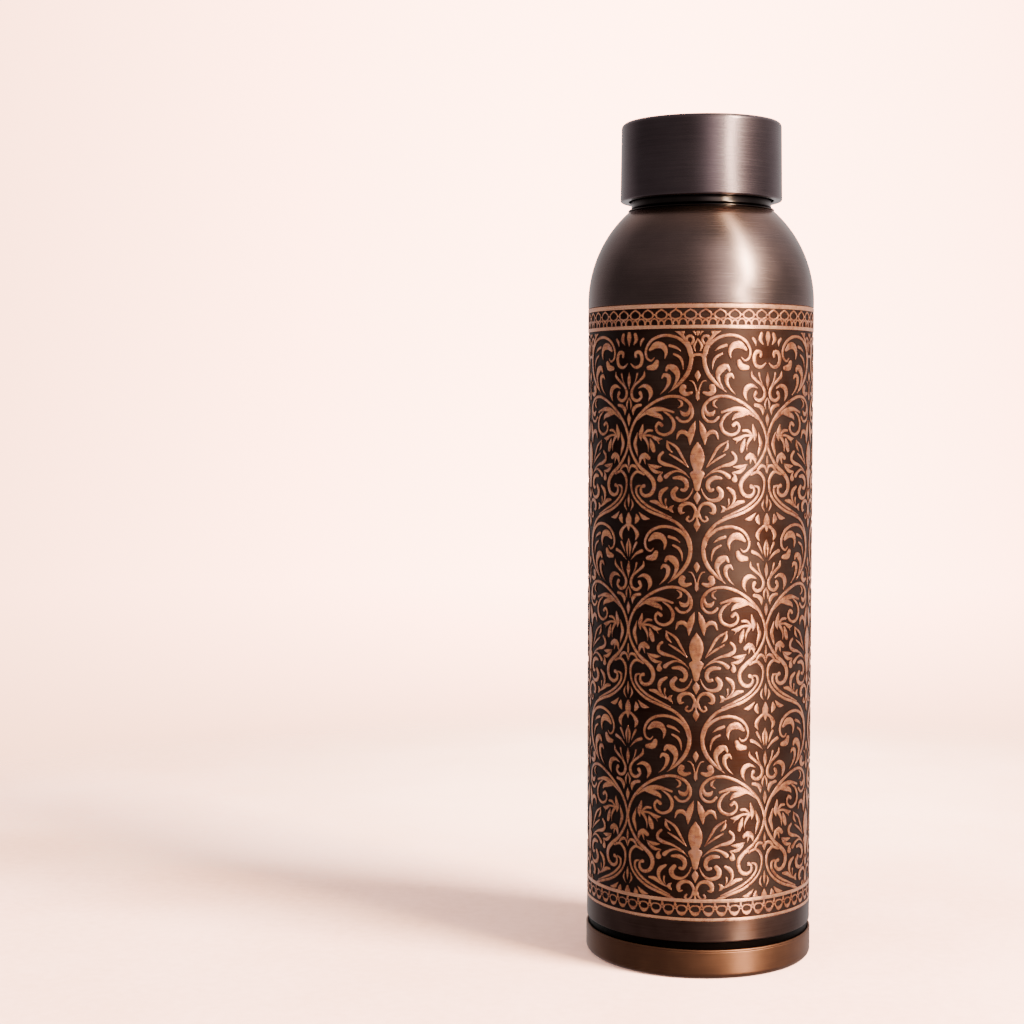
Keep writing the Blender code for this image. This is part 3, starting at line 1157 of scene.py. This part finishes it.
# The crest over the first row.
CREST = strokes(
    ((1.9, 0, 1.3), (1, -0.5, 0.9), (0, -0.6, 0.9)),
    ((0.7, -1.6, 0.2), (1.2, -3.2, 0.8), (0.5, -4.6, 0.6), (0, -5.4, 0.5)),
    (
        (1.9, -3.9, 0.8), (1.3, -5.2, 0.8), (2, -6.3, 0.9), (3.2, -6.1, 0.9), (3.4, -4.8, 0.8),
        (2.6, -4, 0.8),
    ),
    (
        (22.3, 2, 0.4), (20.6, 3.2, 1), (18.7, 2.6, 1.2), (18, 0.4, 1.3), (18.9, -1.5, 1.3),
        (20.4, -1.3, 1.2), (20.4, -0.2, 1),
    ),
    ((0, -8.5, 0.3), (0.1, -7.5, 0.9), (0, -6.4, 0.3)),
    ((0.6, -6.6, 0.3), (1.4, -8, 0.8), (2.4, -9.8, 0.9)),
    ((4.6, -6.6, 0.4), (4.6, -8, 1.4), (6.4, -8.4, 1.2), (8.8, -9.4, 1)),
    ((17.6, -5.6, 0.9), (18.4, -4.6, 1), (18.6, -3.3, 0.2)),
    ((22.93, -8.6, 0.4), (22.93, -6.2, 1.8), (22.93, -3.4, 0.2)),
    ((20.6, -7, 1.2), (20.2, -5.4, 1.4), (21.2, -3.8, 0.3)),
)

# One link of the upper lattice: a peaked cell over two half rings, down from its upper line.
UPPER_LINK = strokes(
    ((0, 0.45, 0.6), (0.85, 0.9, 0.6), (1.6, 1.45, 0.62), (1.8, 2.2, 0.62), (1.4, 2.95, 0.62), (0, 3.4, 0.7)),
    ((1.75, 2, 0.6), (2.35, 2, 0.65)),
    ((2.29, 3.2, 0.55), (1.6, 3.45, 0.6), (1.1, 4.1, 0.6), (0.95, 5.3, 0.65)),
    ((0.1, 3.6, 0.7), (0.75, 4.2, 0.6), (0.95, 5.2, 0.6)),
)

# One link of the lower lattice: a rounded cell over a filled cup, between two peaks.
LOWER_LINK = strokes(
    ((0, 1, 0.5), (0.85, 1.1, 0.52), (1.5, 1.7, 0.55), (1.55, 2.5, 0.55), (1, 3.1, 0.6), (0, 3.3, 0.65)),
    ((2.08, -0.1, 0.7), (2.08, 0.7, 0.7), (1.6, 1.6, 0.5)),
    ((1.5, 2, 0.5), (2.1, 2, 0.5)),
    ((0, 3.75, 1.1), (0.7, 3.5, 1), (1.35, 2.9, 0.5)),
)

UPPER_LINKS, LOWER_LINKS = 50, 55  # links round the tube
# Heights from which to which the lattices and the plain lines beside them reach.
UPPER_LATTICE = (203.7, 208.9)
LOWER_LATTICE = (19.3, 24.2)
LINES = ((18.2, 19.3), (24.2, 25.3), (202.6, 203.7), (208.9, 210.2))


def field_strokes() -> tuple[Stroke, ...]:
    """Lays out a column's field, from above the first row to below the last.

    Returns:
        Every stroke, measured down from the first row's top.
    """
    found = [stroke.moved(-ROW_HEIGHT) for stroke in FRAME[1:3]]
    found += CREST
    for row in range(ROWS):
        parts = FRAME + MIDDLE + ARROW + CLUSTER + CIRCLE + SIDE + (FAN if row else ())
        found += [stroke.moved(ROW_HEIGHT * row) for stroke in parts]
    return tuple(found)


# ---------------------------------------------------------------------------------------------
# The sub-assemblies

# Heights that neighbouring pieces share.
CUP_RIM = 9.3
SHOULDER_FOOT = 210.4
SHOULDER_TOP = 241.3
COLLAR_TOP = 246.4
CAP_SKIRT = 244.8
LIP_TOP = 265.4
CAP_TOP = 270.4


@dataclass
class Base:
    """The pressed cup that the bottle stands on and the plate that closes the tube."""

    finishes: Finishes
    cup_radius: float = 36.7
    corner: float = 2.0
    foot_inner: float = 28.0
    recess: float = 2.2
    bead: float = 0.4  # radius of the roll at the cup's rim
    plate_radius: float = 34.7
    plate_floor: float = 3.2
    plate_corner: float = 1.5
    wall: float = 0.7

    def cup(self) -> bpy.types.Object:
        """Turns the cup, with a rolled bead at its rim.

        Returns:
            The piece.
        """
        r, wall = self.cup_radius, self.wall
        profile = [(0.0, self.recess), *softened([
            (self.foot_inner - 4, self.recess, 0), (self.foot_inner - 2, self.recess, 1.5),
            (self.foot_inner, 0, 0.8), (self.foot_inner + 3, 0, 0),
        ], closed=False)]
        profile += arc((r - self.corner, self.corner), (self.corner, self.corner), -90, 0, 14)
        profile += [(r, CUP_RIM - 0.9), (r - 0.1, CUP_RIM - 0.75)]
        profile += arc((r - self.bead, CUP_RIM - self.bead), (self.bead, self.bead), -30, 180, 14)
        profile += [(r - wall - 0.1, CUP_RIM - 0.6)]
        inner = self.corner - wall
        profile += arc((r - self.corner, self.corner), (inner, inner), 0, -90, 8)
        profile += [(self.foot_inner + 0.3, wall), (self.foot_inner - 1.7, self.recess + wall)]
        profile += [(0.0, self.recess + wall)]
        piece = finished(turned(profile, closed=False), "base_cup_turned", [self.finishes.foot])
        return settle(piece, Body.BOTTLE, Slot.BROWN, "base_cup")

    def plate(self) -> bpy.types.Object:
        """Turns the dished plate brazed in the tube's end.

        Returns:
            The piece.
        """
        rim, floor, wall = self.plate_radius, self.plate_floor, self.wall
        outer, inner = self.plate_corner, 1.1
        profile = [(0.0, floor), *arc((rim - outer, floor + outer), (outer, outer), -90, 0, 8)]
        profile += [(rim, CUP_RIM), (rim - wall, CUP_RIM)]
        profile += arc((rim - wall - inner, floor + wall + inner), (inner, inner), 0, -90, 8)
        profile += [(0.0, floor + wall)]
        piece = finished(turned(profile, closed=False), "bottom_plate_turned", [self.finishes.inside])
        return settle(piece, Body.BOTTLE, Slot.RAW, "bottom_plate")

    def build(self) -> None:
        """Builds the base."""
        self.cup()
        self.plate()


@dataclass
class EtchedTube:
    """The straight wall: a dark etched ground with raised copper on it."""

    finishes: Finishes
    wall: float = 0.7
    neck: float = 35.7  # radius under the groove
    foot: float = 1.3
    groove_top: float = 11.5
    top: float = 210.3

    def tube(self) -> bpy.types.Object:
        """Turns the wall, necked in at its foot and sunk where the ground is etched.

        Returns:
            The piece.
        """
        etched, ground = LINES[0][0] + 0.3, SKIN - ETCH_DEPTH
        profile = [(ground, self.top), (ground, etched), (SKIN, etched)]
        profile += arc((SKIN - 0.7, self.groove_top + 0.7), (0.7, 0.7), 0, -75, 10)
        profile += arc((self.neck + 0.3, self.groove_top - 0.3), (0.3, 0.3), 100, 180, 5)
        inside = self.neck - self.wall
        profile += [(self.neck, self.foot + 0.7), (self.neck - 0.5, self.foot), (inside, self.foot)]
        profile += [(inside, self.groove_top), (SKIN - self.wall, self.groove_top + 1.2)]
        profile += [(SKIN - self.wall, self.top)]
        bm = turned(profile)
        inner = SKIN - self.wall + 0.1
        paint(bm, 1, lambda middle: middle.z < etched)
        # painted shade: faces in and below the groove get the near-black finish
        paint(bm, 3, lambda middle: middle.z < self.groove_top + 0.1)
        paint(bm, 2, lambda middle: middle.xy.length < inner and middle.z > self.groove_top)
        paint(bm, 2, lambda middle: middle.xy.length < self.neck - self.wall / 2)
        finishes = [self.finishes.ground, self.finishes.band, self.finishes.inside, self.finishes.groove]
        return settle(finished(bm, "tube_turned", finishes), Body.BOTTLE, Slot.ETCHED, "body_tube")

    def lines(self) -> list[bpy.types.Object]:
        """Turns the four plain lines that edge the two lattices.

        Returns:
            One piece for each line.
        """
        made = []
        for i, (low, high) in enumerate(LINES):
            corners = [(SKIN - SUNK, low, 0), (SKIN, low, 0.12), (SKIN, high, 0.12), (SKIN - SUNK, high, 0)]
            piece = finished(turned(softened(corners, 3)), f"border_line_{i + 1}", [self.finishes.line])
            made.append(settle(piece, Body.BOTTLE, Slot.ETCHED))
        return made

    def build(self) -> None:
        """Builds the tube with its relief."""
        self.tube()
        self.lines()
        skins = [self.finishes.raised, self.finishes.rim, self.finishes.wall]
        low, high = FIELD
        Relief(field_strokes(), SEAM, FIRST_ROW_TOP, low, high).wrap("damask", skins)
        for name, link, count, (foot, head) in (
            ("upper_lattice", UPPER_LINK, UPPER_LINKS, UPPER_LATTICE),
            ("lower_lattice", LOWER_LINK, LOWER_LINKS, LOWER_LATTICE),
        ):
            Relief(link, math.pi * SKIN / count, head, foot, head).wrap(name, skins)


@dataclass
class Shoulder:
    """The spun dome between the tube and the neck."""

    finishes: Finishes
    spring: float = 212.0
    height: float = 38.5
    wall: float = 0.7
    skirt: float = 35.5
    lap: float = 4.8  # length of the skirt inside the tube

    def curve(self, inset: float, count: int = 60) -> list[Point]:
        """Points up the dome's quarter ellipse, inset from its outer skin.

        Args:
            inset: Distance from the outer skin.
            count: Number of steps.

        Returns:
            The points, from the spring to the cut top.
        """
        wide, high = SKIN - inset, self.height - inset
        end = math.degrees(math.asin((SHOULDER_TOP - self.spring) / high))
        return arc((0, self.spring), (wide, high), 0, end, count)

    def build(self) -> None:
        """Turns the dome, whose skirt laps inside the tube."""
        low = SHOULDER_FOOT
        profile = [(self.skirt, low), (SKIN - 0.15, low), (SKIN, low + 0.15)]
        profile += self.curve(0)
        profile += reversed(self.curve(self.wall)[1:])
        inside, end = self.skirt - self.wall, low - self.lap
        profile += [(inside, low), (inside, end), (self.skirt, end)]
        bm = turned(profile)
        paint(bm, 1, self._inside)
        piece = finished(bm, "shoulder_spun", [self.finishes.shoulder, self.finishes.inside])
        settle(piece, Body.BOTTLE, Slot.DARK, "shoulder")

    def _inside(self, middle: Vector) -> bool:
        """Tells whether a face is on the dome's inner skin or its skirt.

        Args:
            middle: The face's middle.

        Returns:
            Whether it is.
        """
        if middle.z < self.spring:
            return middle.xy.length < SKIN - self.wall / 2
        wide, high = SKIN - self.wall / 2, self.height - self.wall / 2
        return (middle.xy.length / wide) ** 2 + ((middle.z - self.spring) / high) ** 2 < 1


@dataclass
class Neck:
    """The threaded neck and its collar, soldered in the shoulder."""

    finishes: Finishes
    bore: float = 20.0
    radius: float = 21.2
    collar: float = 22.6
    foot: float = 23.6
    spigot: float = 21.8  # radius of the sleeve inside the shoulder
    spigot_foot: float = 238.8
    thread: Thread = Thread(wall=21.2, crest=22.2, start=254.0, turns=1.5)

    def build(self) -> None:
        """Turns the ring and sweeps its thread."""
        base = SHOULDER_TOP + 0.3
        flare = self.foot - self.collar
        profile = [(self.bore, self.spigot_foot)]
        profile += arc((self.bore + 0.3, LIP_TOP - 0.3), (0.3, 0.3), 180, 90, 5)
        profile += arc((self.radius - 0.4, LIP_TOP - 0.4), (0.4, 0.4), 90, 0, 5)
        profile += arc((self.radius + 0.3, COLLAR_TOP + 0.3), (0.3, 0.3), 180, 270, 4)
        profile += arc((self.collar - 0.5, COLLAR_TOP - 0.5), (0.5, 0.5), 90, 0, 6)
        profile += arc((self.foot, base + 0.5 + flare), (flare, flare), 180, 262, 8)
        profile += arc((self.foot - 0.25, base + 0.25), (0.25, 0.25), 80, -80, 6)
        profile += [(self.spigot, base), (self.spigot, self.spigot_foot)]
        bm = joined([turned(profile), self.thread.ridge()])
        settle(finished(bm, "neck_turned", [self.finishes.collar]), Body.BOTTLE, Slot.COLLAR, "neck_ring")


@dataclass
class Cap:
    """The screw cap: a spun shell, its threaded insert and its washer."""

    finishes: Finishes
    low_radius: float = 26.1
    high_radius: float = 25.8
    corner: float = 1.6
    crown: float = 0.5
    hem: float = 23.4
    wall: float = 0.7
    thread: Thread = Thread(wall=22.6, crest=21.6, start=252.4, turns=1.25)

    def shell(self) -> bpy.types.Object:
        """Turns the outer shell, crowned on top and hemmed inwards at its foot.

        Returns:
            The piece.
        """
        edge, flat = CAP_TOP - self.crown, self.high_radius - self.corner
        profile = [(flat * i / 16, CAP_TOP - self.crown * (i / 16) ** 2) for i in range(16)]
        profile += arc((flat, edge - self.corner), (self.corner, self.corner), 90, 0, 14)
        profile += arc((self.low_radius - 0.6, CAP_SKIRT + 0.6), (0.6, 0.6), 0, -90, 8)
        profile += arc((self.hem + 0.35, CAP_SKIRT + 0.35), (0.35, 0.35), -90, -270, 8)
        inner = self.low_radius - self.wall
        profile += [(inner, CAP_SKIRT + self.wall), (inner - 0.3, edge - self.corner)]
        profile += [(flat, edge - self.wall), (0.0, CAP_TOP - self.wall)]
        piece = finished(turned(profile, closed=False), "cap_spun", [self.finishes.cap])
        return settle(piece, Body.CAP, Slot.DARK, "cap_shell")

    def insert(self) -> bpy.types.Object:
        """Turns the moulded cup inside the shell and sweeps its thread.

        Returns:
            The piece.
        """
        bottom, top, ceiling = 245.8, 268.9, 267.6
        outer, mouth, bore = 24.7, 23.0, 22.6
        profile = [(0.0, top), (outer - 1, top), (outer, top - 1)]
        profile += [(outer, bottom + 0.2), (outer - 0.2, bottom)]
        profile += [(mouth + 0.2, bottom), (mouth, bottom + 0.2)]
        profile += [(mouth, COLLAR_TOP + 0.5), (bore, COLLAR_TOP + 1.6), (bore, ceiling), (0.0, ceiling)]
        bm = joined([turned(profile, closed=False), self.thread.ridge()])
        piece = finished(bm, "insert_moulded", [self.finishes.insert])
        return settle(piece, Body.CAP, Slot.MOULDING, "cap_insert")

    def washer(self) -> bpy.types.Object:
        """Turns the sealing washer.

        Returns:
            The piece.
        """
        low, high, inner, outer = LIP_TOP + 0.3, LIP_TOP + 1.9, 19.0, 22.2
        corners = [(outer, high, 0.3), (outer, low, 0.3), (inner, low, 0.3), (inner, high, 0.3)]
        piece = finished(turned(softened(corners, 4)), "washer_moulded", [self.finishes.washer])
        return settle(piece, Body.WASHER, Slot.SILICONE, "cap_gasket")

    def build(self) -> None:
        """Builds the cap."""
        self.shell()
        self.insert()
        self.washer()


# ---------------------------------------------------------------------------------------------
# Stage, light and camera


@dataclass
class Table:
    """The table, which fades out at its edge and only the camera sees."""

    radius: float = 1.6
    solid: float = 0.38  # distance from the bottle at which it starts to fade
    faded: float = 0.5
    pale: Colour = (0.95, 0.52, 0.4)
    grey: Colour = (0.87, 0.45, 0.33)
    glow: Colour = (2.6, 1.9, 1.3)  # painted light: the table's far side glows, standing in for light that the wall throws there

    def build(self) -> bpy.types.Object:
        """Makes a disc whose edge fades out.

        Returns:
            The table.
        """
        bm = bmesh.new()
        bmesh.ops.create_circle(bm, cap_ends=True, segments=96, radius=self.radius)
        mesh = bpy.data.meshes.new("table")
        bm.to_mesh(mesh)
        bm.free()
        bench = Bench("table_top")
        place = bench.node("ShaderNodeTexCoord", {}, {}, "Object")
        cloth = bench.noise(None, 14, 5.0) * 0.6 + bench.noise(None, 260, 3.0) * 0.4
        tone = bench.spread(cloth, 0.4, 0.6, 0.0, 1.0)
        length = bench.node("ShaderNodeVectorMath", {"operation": "LENGTH"}, {0: place}, 1)
        alpha = bench.spread(length, self.solid, self.faded, 1.0, 0.0)
        x, y, _ = bench.split(place)
        # painted light: a glow given to the table's far side
        far = bench.bell(x, -0.02, 0.16) * bench.spread(y, 0.07, 0.22, 0.0, 1.0)
        glow = bench.blend(far, (0.0, 0.0, 0.0), self.glow)
        bench.shader.inputs["Specular IOR Level"].default_value = 0.1
        bench.shader.inputs["Emission Strength"].default_value = 1.0
        bench.set(Emission_Color=glow, Base_Color=bench.blend(tone, self.grey, self.pale), Alpha=alpha)
        bench.set(Roughness=0.8)
        mesh.materials.append(bench.material)
        table = bpy.data.objects.new("table", mesh)
        table.visible_glossy = False
        table.visible_diffuse = False
        bpy.context.scene.collection.objects.link(table)
        return table


@dataclass(frozen=True)
class Surround:
    """The room: a pale wall to the camera, and a dim room with one tall window to the metal."""

    wall: Colour = (15.2, 7.0, 5.0)
    # painted shade at the wall's sides and foot
    wall_shaded_edge: Colour = (4.9, 2.4, 1.5)
    ambient: Colour = (1.0, 0.92, 0.91)
    key: Colour = (1.0, 0.84, 0.58)
    key_power: float = 105.0
    key_width: float = 0.034
    key_across: tuple[float, float] = (-0.804, -0.595)  # level direction across the window
    glow_power: float = 2.5

    def build(self) -> None:
        """Makes the world."""
        world = bpy.data.worlds.new("surround")
        world.use_nodes = True
        bpy.context.scene.world = world
        graph = Graph(world.node_tree)
        x, y, z = graph.split(graph.node("ShaderNodeTexCoord", {}, {}, "Generated"))
        backdrop = self._emission(graph, self._wall(graph, x, z), 1.0)
        room = self._emission(graph, self.ambient, self._room(graph, x, y, z))
        window = self._emission(graph, self.key, self._window(graph, x, y, z))
        lit = graph.node("ShaderNodeAddShader", {}, {0: room, 1: window})
        seen = graph.node("ShaderNodeLightPath", {}, {}, "Is Camera Ray")
        mixed = graph.node("ShaderNodeMixShader", {}, {0: seen, 1: lit, 2: backdrop})
        graph.feed(graph.tree.nodes["World Output"].inputs[0], mixed)

    def _emission(self, graph: Graph, colour: Colour | Socket, strength: float | Socket) -> Socket:
        """A background shader."""
        return graph.node("ShaderNodeBackground", {}, {"Color": colour, "Strength": strength})

    def _wall(self, graph: Graph, x: Socket, z: Socket) -> Socket:
        """The wall's colour in a direction, paler towards its middle: a painted pool of light, with painted
        shade towards its sides and foot.
        """
        middle = graph.bell(x, -0.02, 0.29) * graph.spread(z, -0.185, -0.09, 0.0, 1.0)
        return graph.blend(middle, self.wall_shaded_edge, self.wall)

    def _room(self, graph: Graph, x: Socket, y: Socket, z: Socket) -> Socket:
        """Lights the room: dim on the left, brighter on the right and behind.

        Args:
            graph: The world's node tree.
            x: Part of the direction towards +X.
            y: Part of the direction towards +Y.
            z: Part of the direction upwards.

        Returns:
            The brightness.
        """
        low = graph.spread(z, 0.05, -0.12, 0.0, 1.0)
        sides = graph.spread(x, -0.3, 0.9, 0.17, 0.38) * (1.0 + 0.5 * low)
        behind = graph.spread(y, 0.2, 1.0, 0.0, 0.6)
        above = graph.spread(z, 0.3, 1.0, 0.0, 0.15)
        glow = graph.bell(self._across(x, y, z), 0.12, 0.42) * graph.spread(x, -0.3, 0.3, 0.0, 1.0)
        glow = glow * graph.spread(z, 0.7, 0.9, 1.0, 0.0) * (1.0 - 0.95 * low)
        return sides + behind + above + glow * self.glow_power

    def _across(self, x: Socket, y: Socket, z: Socket) -> Socket:
        """How far a direction lies beside the window, which bows towards the front at eye level."""
        bow = 0.21 - 0.17 * z.graph.bell(z, 0.14, 0.11) + 0.06 * z
        return x * self.key_across[0] + y * self.key_across[1] + bow

    def _window(self, graph: Graph, x: Socket, y: Socket, z: Socket) -> Socket:
        """Lights the window, a narrow upright strip.

        Args:
            graph: The world's node tree.
            x: Part of the direction towards +X.
            y: Part of the direction towards +Y.
            z: Part of the direction upwards.

        Returns:
            The brightness.
        """
        strip = graph.bell(self._across(x, y, z), 0.0, self.key_width) * graph.spread(x, 0.05, 0.25, 0.0, 1.0)
        ends = graph.spread(z, 0.6, 1.0, 1.0, 0.0) * graph.spread(z, -0.6, -0.3, 0.0, 1.0)
        glare = (1.0 + 2.0 * graph.bell(z, 0.52, 0.17)) * graph.spread(z, -0.05, 0.1, 0.85, 1.1)
        return strip * ends * glare * self.key_power


@dataclass(frozen=True)
class Panel:
    """A rectangular light that faces the bottle."""

    name: str
    azimuth: float  # degrees from -Y towards +X, as seen from the bottle
    distance: float
    height: float
    size: tuple[float, float]
    power: float
    colour: Colour = (1.0, 0.95, 0.92)
    aim: float = 0.1  # height that it faces
    only_table: bool = True

    def build(self, table: bpy.types.Object) -> None:
        """Makes the light, which is never mirrored in the metal.

        Args:
            table: The table.
        """
        light = bpy.data.lights.new(self.name, "AREA")
        light.shape = "RECTANGLE"
        light.size, light.size_y = self.size
        light.energy = self.power
        light.color = self.colour
        angle = math.radians(self.azimuth)
        place = Vector((math.sin(angle) * self.distance, -math.cos(angle) * self.distance, self.height))
        obj = bpy.data.objects.new(self.name, light)
        obj.location = place
        obj.rotation_euler = (Vector((0, 0, self.aim)) - place).to_track_quat("-Z", "Z").to_euler()
        obj.visible_glossy = False
        bpy.context.scene.collection.objects.link(obj)
        if self.only_table:
            lit = bpy.data.collections.new(f"lit_by_{self.name}")
            lit.objects.link(table)
            obj.light_linking.receiver_collection = lit


PANELS = (
    Panel("table_key", 65, 1.1, 0.82, (0.4, 0.4), 170.0),
    Panel("table_fill", 0, 0.3, 1.6, (2.0, 2.0), 20.0, aim=0.0),
    Panel("left_fill", -62, 0.9, 0.35, (0.8, 0.8), 20.0, colour=(0.88, 0.95, 1.0), only_table=False),
)


@dataclass(frozen=True)
class Viewpoint:
    """The camera."""

    place: tuple[float, float, float] = (0.0, -0.63505, 0.17803)
    tilt: float = 86.942
    turn: float = 5.539
    lens: float = 68.05

    def build(self) -> None:
        """Makes the camera."""
        data = bpy.data.cameras.new("camera")
        data.lens = self.lens
        data.sensor_width = 36.0
        camera = bpy.data.objects.new("camera", data)
        camera.location = self.place
        camera.rotation_euler = (math.radians(self.tilt), 0, math.radians(self.turn))
        bpy.context.scene.collection.objects.link(camera)
        bpy.context.scene.camera = camera


def main() -> None:
    """Builds the bottle, its stage, its light and the camera."""
    logging.basicConfig(level=logging.INFO, format="%(name)s: %(message)s")
    finishes = Finishes.make()
    for assembly in (Base(finishes), EtchedTube(finishes), Shoulder(finishes), Neck(finishes), Cap(finishes)):
        assembly.build()
    table = Table().build()
    Surround().build()
    for panel in PANELS:
        panel.build(table)
    Viewpoint().build()


if __name__ == "__main__":
    main()
